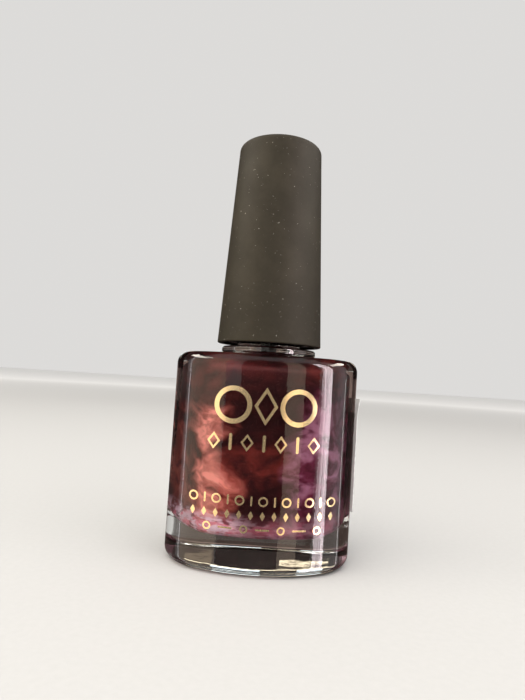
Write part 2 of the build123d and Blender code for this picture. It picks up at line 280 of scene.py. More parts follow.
def thread_lift(z):
    """Height of the neck's ridge: for each of its turns a flat-topped bump centred on
    the helix, fading out at both ends."""
    half_root, flank, end_fade = 0.66, 0.3, 0.06
    lift = np.zeros_like(turn)
    for lap in (0, 1):
        along = turn / (2 * np.pi) + lap
        off = np.abs(z - (thread_start + thread_pitch * along))
        fade = np.clip(along / end_fade, 0, 1) * np.clip((thread_turns - along) / end_fade, 0, 1)
        lift = np.maximum(lift, thread_height * np.clip((half_root - off) / flank, 0, 1) * fade)
    return lift


glass_rows = []
# under the foot: the recess, its rim and the ring that it stands on
rim_inset = recess_inset + recess_round
for shrink in (0.0, 0.25, 0.5, 0.75, 0.95):
    glass_rows.append(level(outside_glass(turn, rim_inset), recess_depth, shrink))
for bend in arc_steps(0, 90, 5):
    z = recess_depth - recess_round * (1 - np.cos(bend))
    glass_rows.append(level(outside_glass(turn, rim_inset - recess_round * np.sin(bend)), z))
for bend in arc_steps(0, 90, 5):
    inset = recess_inset - recess_lip * (1 - np.cos(bend))
    glass_rows.append(level(outside_glass(turn, inset), recess_lip * (1 - np.sin(bend))))
glass_rows.append(level(outside_glass(turn, 2.8), 0.0))
# heel, wall and shoulder
for bend in arc_steps(0, 90, 12):
    inset = heel_round * (1 - np.sin(bend))
    glass_rows.append(level(outside_glass(turn, inset), heel_round * (1 - np.cos(bend))))
for z in np.linspace(heel_round, shoulder_top - shoulder_round, 24)[1:-1]:
    glass_rows.append(level(outside_glass(turn, 0.0), z))
for bend in arc_steps(0, 90, 12):
    z = shoulder_top - shoulder_round * (1 - np.sin(bend))
    glass_rows.append(level(outside_glass(turn, shoulder_round * (1 - np.cos(bend))), z))
for part in (0.2, 0.4, 0.6, 0.8, 1.0):
    glass_rows.append(mixed_level(part, outside_glass(turn, shoulder_round), 10.6, shoulder_top))
# collar, on a small fillet
fillet = ((10.4, 0.07), (10.1, 0.22), (9.85, 0.34), (9.74, 0.42), (9.7, 0.52), (9.7, 0.9))
for radius, rise in fillet:
    glass_rows.append(round_level(radius, shoulder_top + rise))
for bend in arc_steps(0, 90, 6):
    radius = collar_radius - collar_round * (1 - np.cos(bend))
    glass_rows.append(round_level(radius, collar_top - collar_round * (1 - np.sin(bend))))
# neck with its ridge, and the lip
foot_round = 0.5
for bend in arc_steps(0, 90, 6):
    radius = neck_radius + foot_round * (1 - np.sin(bend))
    glass_rows.append(round_level(radius, collar_top + foot_round * (1 - np.cos(bend))))
for z in np.linspace(43.2, 52.55, 92):
    glass_rows.append(round_level(neck_radius + thread_lift(z), z))
for bend in arc_steps(0, 90, 6):
    radius = neck_radius - mouth_round * (1 - np.cos(bend))
    glass_rows.append(round_level(radius, mouth_top - mouth_round * (1 - np.sin(bend))))
for bend in arc_steps(90, 180, 5):
    radius = bore_radius + lip_round * (1 + np.cos(bend))
    glass_rows.append(round_level(radius, mouth_top - lip_round * (1 - np.sin(bend))))
# down the bore and round the hollow
for z in np.linspace(mouth_top - lip_round, hollow_ceiling + lip_round, 14)[1:-1]:
    glass_rows.append(round_level(bore_radius, z))
for bend in arc_steps(0, 90, 5):
    radius = bore_radius + lip_round * (1 - np.cos(bend))
    glass_rows.append(round_level(radius, hollow_ceiling + lip_round * (1 - np.sin(bend))))
for part in (0.8, 0.6, 0.4, 0.2, 0.0):
    glass_rows.append(mixed_level(part, inside_glass(turn, hollow_round), 4.6, hollow_ceiling))
for bend in arc_steps(0, 90, 10)[1:]:
    z = hollow_ceiling - hollow_round * (1 - np.cos(bend))
    glass_rows.append(level(inside_glass(turn, hollow_round * (1 - np.sin(bend))), z))
for z in np.linspace(hollow_ceiling - hollow_round, hollow_floor + hollow_round, 22)[1:-1]:
    glass_rows.append(level(inside_glass(turn, 0.0), z))
for bend in arc_steps(0, 90, 10):
    z = hollow_floor + hollow_round * (1 - np.sin(bend))
    glass_rows.append(level(inside_glass(turn, hollow_round * (1 - np.cos(bend))), z))
for shrink in (0.75, 0.5, 0.25, 0.0):
    glass_rows.append(level(inside_glass(turn, hollow_round), hollow_floor, shrink))

glass, shader, place = new_finish("clear_moulded_glass")
ripple = place.shift(size=(1.0, 1.0, 0.35)).noise(70.0, 2.0, 0.5)
pebble = place.noise(900.0, 2.0, 0.5)
smears = place.shift(size=(1.0, 1.0, 0.6)).noise(140.0, 4.0, 0.6).step(0.52, 0.75)
connect(
    shader,
    Base_Color=rgb(247, 248, 244),
    Roughness=0.012 + 0.05 * smears,
    IOR=1.52,
    Transmission_Weight=1.0,
    Normal=(ripple + pebble * 0.04).bump(0.6, 0.00025),
)
glass_mesh = skin_mesh("glass_body", glass_rows)
add_piece("glass_body", glass_mesh, "bottle", "clear_glass", glass, "glass_bottle")

# ---------------------------------------------------------------------------
# Lacquer.  Pearl pigment in clear burgundy lacquer, left standing so that the
# light salmon pigment has drawn into swirls; painted highlights and painted shade
# of the pearl's sheen are laid into its colour.  It wets the glass all round, so
# its skin lies a hair inside the glass wall, and its top has a meniscus.
wetting = 0.06
corner = hollow_round + wetting
lacquer_rows = []
for shrink in (0.0, 0.3, 0.6, 0.85):
    lacquer_rows.append(level(inside_glass(turn, hollow_round), hollow_floor - wetting, shrink))
for bend in arc_steps(0, 90, 10):
    z = hollow_floor + hollow_round - corner * np.cos(bend)
    lacquer_rows.append(level(inside_glass(turn, hollow_round - corner * np.sin(bend)), z))
for z in np.linspace(hollow_floor + hollow_round, hollow_ceiling - hollow_round, 30)[1:]:
    lacquer_rows.append(level(inside_glass(turn, -wetting), z))
for bend in arc_steps(0, 90, 10)[1:]:
    z = hollow_ceiling - hollow_round + corner * np.sin(bend)
    lacquer_rows.append(level(inside_glass(turn, hollow_round - corner * np.cos(bend)), z))
for part in (0.25, 0.5, 0.75, 1.0):
    ring = inside_glass(turn, hollow_round)
    lacquer_rows.append(mixed_level(part, ring, 4.36, hollow_ceiling + wetting))
for radius, z in ((4.15, 39.12), (4.06, 39.36), (4.06, 40.2), (4.06, 41.2)):
    lacquer_rows.append(round_level(radius, z))
# the meniscus climbs at the glass, and a little in the middle, where the stem stands
for radius, z in ((3.8, 40.95), (3.4, 40.8), (2.8, 40.75), (2.0, 40.8), (0.0, 40.8)):
    lacquer_rows.append(round_level(radius, z))

lacquer, shader, place = new_finish("pearl_lacquer")
across, deep, up = place.axes()
drift = place.shift(size=(1.0, 1.0, 1.5)).noise(60.0, 3.0, 0.55, out=1)
drift_reach = (0.016, 0.016, 0.013)
drift_sum = {0: drift, 1: drift_reach, 2: place}
drifted = place.make("ShaderNodeVectorMath", {"operation": "MULTIPLY_ADD"}, drift_sum)
clouds = drifted.shift(size=(0.8, 1.0, 1.5)).noise(125.0, 5.0, 0.52)
veins = drifted.shift(size=(0.9, 1.0, 1.5)).noise(290.0, 4.0, 0.55)
swirl = clouds * 0.6 + veins * 0.4
flow_x, flow_z = drifted.axes()[::2]


def cloud(middle_x, middle_z, wide, tall):
    """Soft oval patch of pigment in the drifted lacquer: 1 in its middle, 0 outside."""
    off_x = (flow_x - middle_x * MM) / (wide * MM)
    off_z = (flow_z - middle_z * MM) / (tall * MM)
    return 1.0 - (off_x * off_x + off_z * off_z).step(0.05, 1.3)


# the drift moves every place by about half its reach, and the patches are given in
# moved places: a salmon plume up the left, lighter where its colour is a painted
# highlight of the pearl lit from the left, a band across, painted shade right of the
# middle, and rosy clouds at the right, partly painted light from the right
plume_and_highlight = cloud(-3.8, 33.4, 5.6, 4.8) * 1.5 + cloud(-3.4, 27.4, 4.8, 5.2)
plume_and_highlight = plume_and_highlight + cloud(-1.8, 22.6, 4.6, 5.0)
plume_and_highlight = plume_and_highlight + cloud(-4.4, 19.6, 3.4, 3.6) * 0.7 + cloud(-2.6, 14.6, 5.0, 3.0) * 1.1
# the plume and its painted highlight fade out towards the ends
at_ends = abs(across).step(0.0108, 0.0128)
plume_and_highlight = plume_and_highlight * (1.0 - 0.85 * at_ends)
# painted shade: dims the wine colour right of the middle
shade = cloud(9.5, 24.0, 9.0, 30.0)
# the rosy, plum and orchid clouds at the right are pigment, partly painted light from the right
rosy = cloud(18.2, 26.0, 7.2, 15.0) + cloud(16.4, 14.2, 7.0, 3.0)
band = cloud(8.0, 27.2, 9.5, 4.4) * swirl.step(0.38, 0.60)
wine = (swirl.step(0.40, 0.66) * (1.0 - shade * 0.75)).blend(rgb(42, 8, 13), rgb(94, 32, 31))
ember = (plume_and_highlight * 1.1 * swirl.step(0.34, 0.56) + band * 0.45).clip()
with_ember = (ember * 0.92).blend(wine, rgb(166, 62, 54))
# painted highlight: the lightest salmon, where the pearl catches the light from the left
plume_highlight = (plume_and_highlight * 1.1 * swirl.step(0.40, 0.68)).clip() * (0.62 + 0.38 * veins.step(0.40, 0.60))
with_salmon_highlight = (plume_highlight * 1.1).clip().blend(with_ember, rgb(255, 158, 146))
plum = (rosy * (0.45 + 0.55 * veins.step(0.36, 0.60))).clip()
with_plum = (plum * 0.85).blend(with_salmon_highlight, rgb(132, 52, 82))
orchid = (rosy * swirl.step(0.46, 0.60)).clip()
with_orchid = (orchid * 0.75).blend(with_plum, rgb(212, 142, 176))
# painted highlight low on the left, where the pearl catches the light, over pigment settled at the
# bottom
low_pool = 1.0 - up.step(0.0086, 0.0116)
lit_left_side = (across * -1.0).step(0.0010, 0.0080)
settled_and_highlight = low_pool * (0.25 + 0.75 * veins.step(0.42, 0.58)) * (0.42 + 0.78 * lit_left_side)
with_settled_highlight = settled_and_highlight.clip().blend(with_orchid, rgb(240, 136, 160))
# bubbles near the bottom with a painted sparkle of light, stronger on the left
froth_and_sparkle = place.shift(size=(0.7, 1.0, 2.2)).noise(420.0, 5.0, 0.6).step(0.43, 0.58)
froth_and_sparkle = froth_and_sparkle * low_pool * (0.2 + lit_left_side)
with_froth_sparkle = froth_and_sparkle.clip().blend(with_settled_highlight, rgb(255, 216, 236))
flakes = place.noise(6500.0, 2.0, 0.7)
glints = flakes.step(0.60, 0.78)
pearl = (glints * 0.30).blend(with_froth_sparkle, rgb(214, 140, 132))
connect(
    shader,
    Base_Color=pearl,
    Metallic=0.25 + 0.35 * froth_and_sparkle.clip(),
    Roughness=0.40 + 0.15 * flakes,
    Specular_IOR_Level=0.1,
    Normal=flakes.bump(0.6, 0.00004),
)
lacquer_mesh = skin_mesh("lacquer", lacquer_rows)
add_piece("lacquer", lacquer_mesh, "bottle", "pearl_lacquer", lacquer, "lacquer_fill")

# ---------------------------------------------------------------------------
# Mixing balls.  Polished steel balls that lie on the glass floor and stir the
# pigment when the bottle is shaken; a film of lacquer clings to them.
steel, shader, place = new_finish("wetted_steel_ball")
film = place.noise(600.0, 4.0, 0.6).step(0.35, 0.6)
connect(
    shader,
    Base_Color=film.blend(rgb(186, 186, 188), rgb(96, 34, 38)),
    Metallic=1.0 - 0.8 * film,
    Roughness=0.14 + 0.2 * film,
)


def repaint(node, finish):
    """Gives a CAD node's object one finish in place of its own."""
    nodes[node].data.materials.clear()
    nodes[node].data.materials.append(finish)


repaint("mixing_ball_1", steel)
repaint("mixing_ball_2", steel)

# ---------------------------------------------------------------------------
# Foil ornament.  Gold foil hot-stamped on the front face: rings, diamonds and
# bars.  It is bright metal, slightly worn and pin-holed where it has rubbed.
foil, shader, place = new_finish("stamped_gold_foil")
grain = place.noise(5200.0, 3.0, 0.6)
rubbed = place.noise(520.0, 4.0, 0.65).step(0.60, 0.76)
connect(
    shader,
    Base_Color=(rubbed * 0.55).blend(rgb(255, 228, 176), rgb(200, 146, 110)),
    Metallic=0.86,
    Roughness=0.17 + 0.08 * grain + 0.16 * rubbed,
    Normal=grain.bump(0.25, 0.00002),
)
repaint("front_print", foil)

# ---------------------------------------------------------------------------
# Outer cap.  Injection-moulded black plastic with a fine spark-eroded grain,
# pressed over the threaded liner; handling has dusted it and polished it in patches.
cap_black, shader, place = new_finish("grained_black_cap")
grain = place.noise(9000.0, 2.0, 0.6)
coarse = place.noise(1500.0, 3.0, 0.55)
handled = place.noise(85.0, 4.0, 0.6).step(0.42, 0.70)
dust = place.noise(4200.0, 1.0, 0.4).step(0.785, 0.82)
along_lint = place.shift(turn_by=(0.4, 0.9, 0.2), size=(1.0, 0.25, 1.0))
lint = along_lint.noise(3000.0, 1.0, 0.4).step(0.775, 0.80)
specks = (dust + lint).clip()
tone = (coarse * 0.5 + handled * 0.5).clip().blend(rgb(37, 33, 25), rgb(51, 46, 36))
connect(
    shader,
    Base_Color=(specks * 0.75).blend(tone, rgb(176, 168, 156)),
    Roughness=0.58 + 0.10 * coarse - 0.08 * handled,
    Specular_IOR_Level=0.16,
    Normal=(grain * 0.6 + coarse * 0.4 + specks * 0.8).bump(0.5, 0.00003),
)
repaint("outer_cap", cap_black)

# ---------------------------------------------------------------------------
# Threaded liner.  The inner cap of black polypropylene that screws on to the
# glass; it has mould sheen.
liner_black, shader, place = new_finish("liner_polypropylene")
flow = place.shift(size=(1.0, 1.0, 0.2)).noise(400.0, 3.0, 0.5)
connect(
    shader,
    Base_Color=flow.blend(rgb(22, 21, 21), rgb(36, 34, 34)),
    Roughness=0.30 + 0.15 * flow,
    Normal=flow.bump(0.3, 0.00003),
)
repaint("inner_cap", liner_black)

# ---------------------------------------------------------------------------
# Sealing washer.  Closed-cell white foam under the stem's flange that seals on
# the glass lip.
foam, shader, place = new_finish("sealing_foam")
cells = place.make("ShaderNodeTexVoronoi", {"feature": "F1"}, {"Vector": place, "Scale": 5200.0})
stain = place.noise(500.0, 3.0, 0.6).step(0.56, 0.72)
connect(
    shader,
    Base_Color=(stain * 0.35).blend(rgb(226, 223, 214), rgb(150, 70, 74)),
    Roughness=0.75,
    Normal=cells.bump(0.6, 0.00006),
)
repaint("sealing_washer", foam)

# ---------------------------------------------------------------------------
# Brush stem.  Moulded black plastic rod with its flange and snap head; below
# the level of the lacquer it comes out coated and glossy.
stem_finish, shader, place = new_finish("coated_brush_stem")
up = place.axes()[2]
runs = place.shift(size=(1.0, 1.0, 0.12)).noise(900.0, 3.0, 0.5)
wet = (up + runs * 0.006).step(0.0403, 0.0396)
plastic = place.noise(700.0, 3.0, 0.5).blend(rgb(20, 20, 20), rgb(34, 33, 33))
coat = runs.blend(rgb(44, 8, 13), rgb(92, 28, 32))
connect(
    shader,
    Base_Color=wet.blend(plastic, coat),
    Roughness=0.34 - 0.20 * wet,
    Coat_Weight=wet * 0.8,
    Coat_Roughness=0.06,
    Normal=(runs * wet).bump(0.6, 0.00012),
)
repaint("brush_stem", stem_finish)

# ---------------------------------------------------------------------------
# Bristle staple.  A flat of brass wire that folds the bristles and wedges them
# into the stem's end.
staple, shader, place = new_finish("drawn_brass_wire")
drawn = place.shift(size=(0.1, 1.0, 1.0)).noise(6000.0, 2.0, 0.5)
connect(
    shader,
    Base_Color=drawn.blend(rgb(190, 156, 92), rgb(158, 124, 66)),
    Metallic=1.0,
    Roughness=0.28 + 0.15 * drawn,
    Normal=drawn.bump(0.4, 0.00002),
)
repaint("bristle_staple", staple)

# ---------------------------------------------------------------------------
# Bristle tuft.  Fine nylon filaments folded into the stem's end, cut to a
# rounded tip, and loaded with lacquer that draws them together in strands.
STRANDS = 420
LENGTHS = 9
golden_angle = 2.399963
root_z, tip_low, filament_radius = 26.5, 8.62, 0.052
dice = np.random.default_rng(15)
spread = np.sqrt((np.arange(STRANDS) + 0.5) / STRANDS)
lean = np.arange(STRANDS) * golden_angle
down = np.linspace(0.0, 1.0, LENGTHS)
tip_z = tip_low + 1.7 * spread**2.2 + dice.uniform(0.0, 0.55, STRANDS)
swell = 1.12 + 0.66 * np.sin(np.clip(down * 1.25, 0, 1) * np.pi / 2)
clump = dice.uniform(-0.05, 0.05, (STRANDS, 2))
reach = spread[:, None] * swell[None, :]
reach *= 1.0 - 0.32 * np.clip((down - 0.72) / 0.28, 0, 1)[None, :] ** 2
mid_x = reach * np.cos(lean)[:, None] + clump[:, :1] * np.sin(down * 5.0)[None, :]
mid_y = reach * np.sin(lean)[:, None] + clump[:, 1:] * np.sin(down * 4.0)[None, :]
mid_z = root_z + (tip_z[:, None] - root_z) * down[None, :]
thick = filament_radius * (1.0 - 0.45 * down[None, :] ** 3) * np.ones((STRANDS, 1))
corner = np.arange(3) * 2 * np.pi / 3
hair = np.stack(
    [
        mid_x[..., None] + thick[..., None] * np.cos(corner),
        mid_y[..., None] + thick[..., None] * np.sin(corner),
        mid_z[..., None] + 0 * corner,
    ],
    -1,
)
hair_index = np.arange(STRANDS * LENGTHS * 3).reshape(STRANDS, LENGTHS, 3)
hair_next = np.roll(hair_index, -1, 2)
hair_sides = [hair_index[:, 1:], hair_next[:, 1:], hair_next[:, :-1], hair_index[:, :-1]]
hair_faces = np.stack(hair_sides, -1)
hair_ends = np.concatenate([hair_index[:, 0, :], hair_index[:, -1, ::-1]])
hair_mesh = bpy.data.meshes.new("bristles")
hair_mesh.from_pydata(
    (hair.reshape(-1, 3) * MM).tolist(),
    [],
    hair_faces.reshape(-1, 4).tolist() + hair_ends.tolist(),
)
hair_mesh.update()
hair_mesh.shade_smooth()

nylon, shader, place = new_finish("loaded_nylon_bristle")
streak = place.shift(size=(1.0, 1.0, 0.05)).noise(2600.0, 3.0, 0.5)
connect(
    shader,
    Base_Color=streak.blend(rgb(34, 6, 11), rgb(104, 34, 40)),
    Roughness=0.16 + 0.14 * streak,
    Coat_Weight=0.8,
    Coat_Roughness=0.05,
    Normal=streak.bump(0.5, 0.00003),
)
add_piece("bristles", hair_mesh, "cap", "nylon_bristle", nylon, "bristle_tuft")

# Lacquer held between the bristles: a core that fills the tuft just under its
# outer filaments, with lengthwise runs and a drop gathering at the tip.
load_low, load_high, load_radius = 8.64, 25.62, 1.66
drop_heights = [load_low, 8.66, 8.74, 8.9, 9.2]
load_rows = []
for z in np.concatenate([drop_heights, np.linspace(9.6, 25.4, 28), [25.6, load_high]]):
    low = np.clip((z - load_low) / 2.4, 0, 1)
    high = np.clip((load_high - z) / 3.6, 0, 1)
    girth = load_radius * np.sqrt(1 - (1 - low) ** 2) * (0.66 + 0.34 * np.sin(high * np.pi / 2))
    girth *= 0.0 if z in (load_low, load_high) else 1.0
    broad_runs = 0.035 * np.sin(turn * 17 + 0.6 * np.sin(z * 0.5))
    fine_runs = 0.02 * np.sin(turn * 29 + z * 0.3)
    load_rows.append(round_level(girth * (1.0 + broad_runs + fine_runs), z))
load_mesh = skin_mesh("lacquer_on_brush", load_rows)
wet_lacquer, shader, place = new_finish("wet_lacquer_on_brush")
streak = place.shift(size=(1.0, 1.0, 0.08)).noise(1500.0, 4.0, 0.55)
connect(
    shader,
    Base_Color=streak.blend(rgb(42, 8, 13), rgb(112, 38, 42)),
    Metallic=0.2,
    Roughness=0.12 + 0.1 * streak,
    Coat_Weight=0.8,
    Coat_Roughness=0.04,
    Normal=streak.bump(0.4, 0.00005),
)
add_piece("lacquer_on_brush", load_mesh, "cap", "pearl_lacquer", wet_lacquer)

# ---------------------------------------------------------------------------
# Back label.  Coated white paper, wrapped from the back round the right end.
# Its front edge has let go of the glass and the top corner has curled outwards.
label_low, label_high, label_length = 10.0, 33.3, 45.55
label_rise = label_high - label_low
paper_gap, paper_thickness, free_run = 0.03, 0.14, 3.6


def label_path(along):
    """X, Y and outward normal of the paper's glued face, by distance from the edge
    that has let go: a straight run off the glass, the end arc, then the back arc."""
    end_x = half_width - end_radius
    end_r = end_radius + paper_gap
    glass_side_r = 29.0533
    side_r = glass_side_r + paper_gap
    side_y = half_depth - glass_side_r
    lift = math.radians(15.0)
    meet = math.atan2(-side_y, end_x)
    end_run = (meet - lift) * end_r
    arc = lift + np.clip(along - free_run, 0, end_run) / end_r
    beyond = np.clip(along - free_run - end_run, 0, None) / side_r
    angle = arc + beyond
    on_back = along > free_run + end_run
    x = np.where(on_back, side_r * np.cos(angle), end_x + end_r * np.cos(angle))
    y = np.where(on_back, side_y + side_r * np.sin(angle), end_r * np.sin(angle))
    run = np.clip(free_run - along, 0, None)
    x = x + run * math.sin(lift)
    y = y - run * math.cos(lift)
    return x, y, np.cos(angle), np.sin(angle)


along = np.concatenate([np.linspace(0, 4.4, 24), np.linspace(4.4, label_length, 120)[1:]])
height = np.concatenate([np.linspace(label_low, 27.0, 20), np.linspace(27.0, label_high, 22)[1:]])
grid_s, grid_z = np.meshgrid(along, height)
px, py, nx, ny = label_path(grid_s)
# the top corner curls out past a fold line that cuts it off slantwise
fold_wide, fold_tall, fold_reach, curl_height = 2.8, 5.2, 2.47, 0.4896
past_fold = (grid_z - label_high + fold_tall) * fold_wide - grid_s * fold_tall
past_fold = np.clip(past_fold / math.hypot(fold_wide, fold_tall), 0, None)
curl_out = curl_height * (1 - np.cos(np.clip(past_fold / fold_reach, 0, 1) * math.pi / 2))
wave = 0.5 + 0.5 * np.sin(grid_z * 0.55 + 0.8)
ripple_out = 0.05 * np.clip(1 - grid_s / free_run, 0, 1) * wave
paper_rows = []
for face_out in (0.0, paper_thickness):
    lift_by = curl_out + ripple_out + face_out
    paper_rows.append(np.stack([px + nx * lift_by, py + ny * lift_by, grid_z], -1))
inner_face, outer_face = paper_rows


def sheet_mesh(name, under, over):
    """A thin closed sheet from its two faces, each a grid of the same size: quads over
    both, and a strip of quads round the edge that joins them."""
    high, wide = under.shape[:2]
    count = high * wide
    base = np.arange(count).reshape(high, wide)
    top = base + count

    def quads(index, flip):
        corners = [index[:-1, :-1], index[:-1, 1:], index[1:, 1:], index[1:, :-1]]
        return np.stack(corners[::-1] if flip else corners, -1).reshape(-1, 4)

    rim = np.concatenate([base[0, :-1], base[:-1, -1], base[-1, :0:-1], base[:0:-1, 0]])
    rim_next = np.roll(rim, -1)
    strip = np.stack([rim_next, rim, rim + count, rim_next + count], -1)
    mesh = bpy.data.meshes.new(name)
    points = np.concatenate([under.reshape(-1, 3), over.reshape(-1, 3)]) * MM
    faces = np.concatenate([quads(base, True), quads(top, False), strip])
    mesh.from_pydata(points.tolist(), [], faces.tolist())
    mesh.update()
    mesh.shade_smooth()
    return mesh, faces


label_mesh, label_faces = sheet_mesh("back_paper", inner_face, outer_face)
label_uv = label_mesh.uv_layers.new(name="paper")
# U runs 0 to 1 over the printed face, and 2 to 3 over the glued one
flat_u = np.concatenate([grid_s.ravel() + 2 * label_length, grid_s.ravel()]) / label_length
flat_v = (np.concatenate([grid_z.ravel(), grid_z.ravel()]) - label_low) / label_rise
corners = label_faces.ravel()
label_uv.data.foreach_set("uv", np.stack([flat_u[corners], flat_v[corners]], -1).ravel())

paper, shader, place = new_finish("coated_label_paper")
fibre = place.noise(2400.0, 4.0, 0.6)
mottle = place.noise(160.0, 3.0, 0.5)
sheet_uv = place.make("ShaderNodeUVMap", {"uv_map": "paper"})
sheet_u, sheet_v = sheet_uv.axes()[:2]
glued_side = sheet_u.step(1.4, 1.6)
bare = (fibre * 0.35 + mottle * 0.4).clip().blend(rgb(246, 245, 243), rgb(228, 226, 222))
run_mm = sheet_u * label_length
rise_mm = sheet_v * label_rise


def between(value, low, high, edge=0.1):
    """1 from the low value to the high one, with a soft edge past each."""
    return value.step(low, low + edge) * (1.0 - value.step(high, high + edge))


def ruled(distance, half_line, edge=0.05):
    """1 where the distance in millimetres is under the half width, with a soft edge."""
    return 1.0 - abs(distance).step(half_line, half_line + edge)


def open_diamond(off_run, off_rise, half_wide, half_tall):
    """Outline of a diamond: the sum of the two offsets, each over its half size, is 1."""
    spread = abs(off_run) / half_wide + abs(off_rise) / half_tall
    return ruled(spread - 0.86, 0.11, 0.03)


# a thin frame, three diamonds between two rules, and broken rules below
in_frame = between(run_mm, 7.6, 43.9) * between(rise_mm, 1.4, 21.8)
in_panel = between(run_mm, 7.85, 43.65) * between(rise_mm, 1.65, 21.55)
border = in_frame * (1.0 - in_panel)
middle_run, ornament_rise = 25.8, 18.2
off_rise = rise_mm - ornament_rise
diamonds = open_diamond(run_mm - middle_run, off_rise, 1.7, 2.3)
for beside in (-4.9, 4.9):
    diamonds = diamonds + open_diamond(run_mm - (middle_run + beside), off_rise, 1.1, 1.5)
rule_runs = between(run_mm, 10.0, 19.0) + between(run_mm, 32.5, 41.5)
long_rules = ruled(off_rise, 0.09) * rule_runs
row_pitch = 1.55
rows_up = rise_mm / row_pitch
row = rows_up.maths("FLOOR", rows_up)
within_row = rows_up - row
row_start = run_mm.make("ShaderNodeCombineXYZ", None, {0: run_mm * 0.62, 1: row * 5.7, 2: 0.3})
broken = row_start.noise(1.0, 1.0, 0.4).step(0.40, 0.42)
in_text = between(run_mm, 10.0, 41.4) * between(rise_mm, 3.2, 15.4)
dashes = ruled(within_row - 0.5, 0.13, 0.05) * broken * in_text
ink = (border + diamonds + long_rules + dashes * 0.8).clip()
print_brown = rgb(74, 42, 46)
printed = (ink * (0.80 + 0.2 * fibre)).blend(bare, print_brown)
# the glued face: dark where it lies on the glass, light grey on the tail that has let go
glued_face_tone = sheet_u.step(2.11, 2.085).blend(rgb(58, 50, 49), rgb(222, 220, 217))
connect(
    shader,
    Base_Color=glued_side.blend(printed, glued_face_tone),
    Roughness=0.55,
    Subsurface_Weight=0.7,
    Subsurface_Radius=(1.0, 1.0, 1.0),
    Subsurface_Scale=0.0005,
    Normal=(fibre + mottle * 0.5).bump(0.35, 0.00003),
)
add_piece("back_paper", label_mesh, "bottle", "label_paper", paper, "back_label")

foot_paper, shader, place = new_finish("foot_label_paper")
fibre = place.noise(2400.0, 4.0, 0.6)
bare = (fibre * 0.5).blend(rgb(240, 239, 236), rgb(220, 218, 212))
across, deep = place.axes()[:2]
off_run = across * 1000.0
off_rise = deep * 1000.0
squared = off_run * off_run + off_rise * off_rise
radius = squared.maths("SQRT", squared)
rings = ruled(radius - 6.5, 0.12) + ruled(radius - 5.9, 0.06)
ink = rings + open_diamond(off_run, off_rise, 2.2, 3.2)
connect(
    shader,
    Base_Color=(ink.clip() * 0.85).blend(bare, print_brown),
    Roughness=0.6,
    Normal=fibre.bump(0.35, 0.00003),
)
repaint("base_label", foot_paper)

# ---------------------------------------------------------------------------
# Studio.  A plain pale floor and surround, soft light, and upright cards that
# only glass, foil and gloss show: dark ones draw the edges, bright ones the streaks.
floor_mesh = bpy.data.meshes.new("floor")
floor_mesh.from_pydata([(-4, -4, 0), (4, -4, 0), (4, 4, 0), (-4, 4, 0)], [], [(0, 1, 2, 3)])
floor = bpy.data.objects.new("floor", floor_mesh)
bpy.context.scene.collection.objects.link(floor)
floor_finish, shader, place = new_finish("pale_floor")
across, deep = place.axes()[:2]
# darker near the bottle; painted shade under the lamps, where their light pools, and paler in the
# distance and behind it, painted light where the lamps' light falls off
reach = across * across + deep * deep
behind = (deep + across * 0.3).step(-0.35, 0.35)
falloff_light = (reach.step(0.05, 2.2) * behind + reach.step(0.9, 3.6)).clip()
lamp_pool_shade = (deep * -1.0).step(0.10, 0.5) * (1.0 - reach.step(0.9, 3.6))
grit = place.noise(900.0, 3.0, 0.5)
near_floor = lamp_pool_shade.blend(
    grit.blend(rgb(174, 173, 171), rgb(180, 179, 177)),
    grit.blend(rgb(134, 133, 132), rgb(140, 139, 138)),
)
connect(
    shader,
    Base_Color=falloff_light.blend(near_floor, rgb(238, 237, 235)),
    Roughness=0.8,
    Specular_IOR_Level=0.1,
)
floor.data.materials.append(floor_finish)
floor.visible_glossy = False
floor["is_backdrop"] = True

world = bpy.data.worlds.new("studio")
bpy.context.scene.world = world
world.use_nodes = True
sky = world.node_tree.nodes["Background"]
sky.inputs["Color"].default_value = (1.0, 0.985, 0.965, 1.0)
sky.inputs["Strength"].default_value = 0.72


def soft_box(name, azimuth, elevation, distance, wide, tall, watts, tint):
    """Area light aimed at the bottle; azimuth runs from the front towards the right."""
    light = bpy.data.lights.new(name, "AREA")
    light.shape = "RECTANGLE"
    light.size, light.size_y = wide, tall
    light.energy = watts
    light.color = tint
    lamp = bpy.data.objects.new(name, light)
    a, e = math.radians(azimuth), math.radians(elevation)
    way = np.array([math.sin(a) * math.cos(e), -math.cos(a) * math.cos(e), math.sin(e)])
    lamp.location = (0, 0, 0.045) + way * distance
    lamp.rotation_euler = (math.pi / 2 - e, 0, a)
    bpy.context.scene.collection.objects.link(lamp)
    lamp.visible_camera = False
    lamp.visible_glossy = False
    lamp.visible_transmission = False


soft_box("left_window", -52.0, 34.0, 1.1, 1.4, 1.4, 19.0, (1.0, 0.96, 0.88))
soft_box("right_window", 55.0, 24.0, 1.1, 1.2, 1.2, 9.5, (1.0, 0.96, 0.98))
soft_box("top_soft", 10.0, 74.0, 0.9, 0.9, 0.9, 6.0, (1.0, 0.99, 0.97))


def glow_finish(name, tint, strength):
    """Material of a bright card."""
    finish, shader, place = new_finish(name)
    connect(shader, Base_Color=(0, 0, 0, 1), Emission_Color=(*tint, 1), Emission_Strength=strength)
    return finish


def dull_finish(name, colour):
    """Material of a dark card."""
    finish, shader, place = new_finish(name)
    connect(shader, Base_Color=colour, Roughness=0.9, Specular_IOR_Level=0.0)
    return finish


